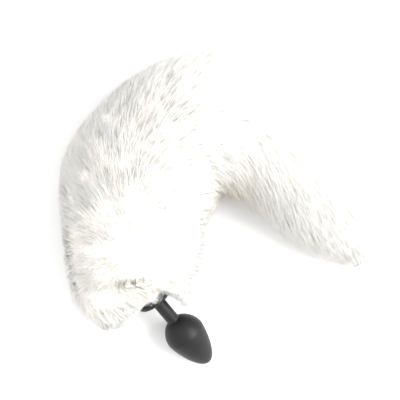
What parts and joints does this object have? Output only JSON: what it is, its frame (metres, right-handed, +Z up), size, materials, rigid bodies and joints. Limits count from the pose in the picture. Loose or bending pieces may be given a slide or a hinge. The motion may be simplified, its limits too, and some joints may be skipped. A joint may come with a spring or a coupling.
{
  "type": "fox tail butt plug",
  "caption": "White faux-fur fox tail bent in a hook, on a soft black silicone plug with a round base, a neck and a tapered bulb.",
  "frame": {"origin": "on the table, under the middle of the whole object's footprint", "axes": "+Z up; seen from above +X is to the right and +Y runs from the plug towards the tail's bend"},
  "size_m": [0.2636, 0.266, 0.0935],
  "materials": {
    "silicone": "matte",
    "stud": "satin",
    "fur": "long pile"
  },
  "bodies": {
    "root": {"plug": "silicone", "tail_stud": "stud", "tail_fur": "fur"}
  },
  "joints": []
}
